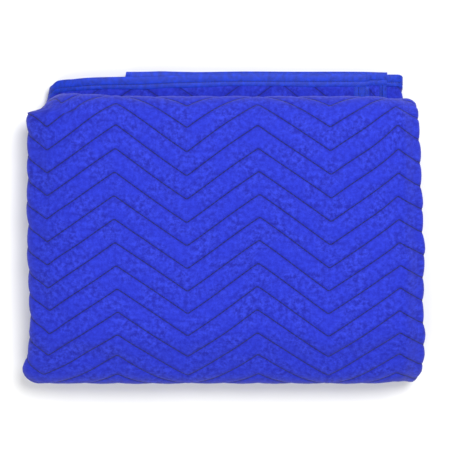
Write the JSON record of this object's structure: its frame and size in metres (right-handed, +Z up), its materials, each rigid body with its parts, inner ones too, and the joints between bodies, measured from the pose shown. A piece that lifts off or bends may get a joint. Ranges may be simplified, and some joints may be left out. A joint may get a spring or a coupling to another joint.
{
  "type": "moving blanket",
  "caption": "Quilted moving blanket with bound edges, folded into a flat rectangular pack that lies on its back, chevron quilting on its upper face.",
  "frame": {"origin": "middle of the pack's box, at the floor that it lies on", "axes": "+X to the right along the pack's longest side, +Y towards the edge where the blanket's cut ends show, +Z up, out of the quilted front face"},
  "size_m": [0.4812, 0.3806, 0.0905],
  "materials": {
    "shell": "matte non-woven quilted shell",
    "tape": "woven binding tape with a slight sheen"
  },
  "bodies": {
    "root": {"quilted_pad": "shell", "end_tape_outer": "tape", "end_tape_inner": "tape", "side_tape_outer": "tape", "side_tape_inner": "tape"}
  },
  "joints": []
}
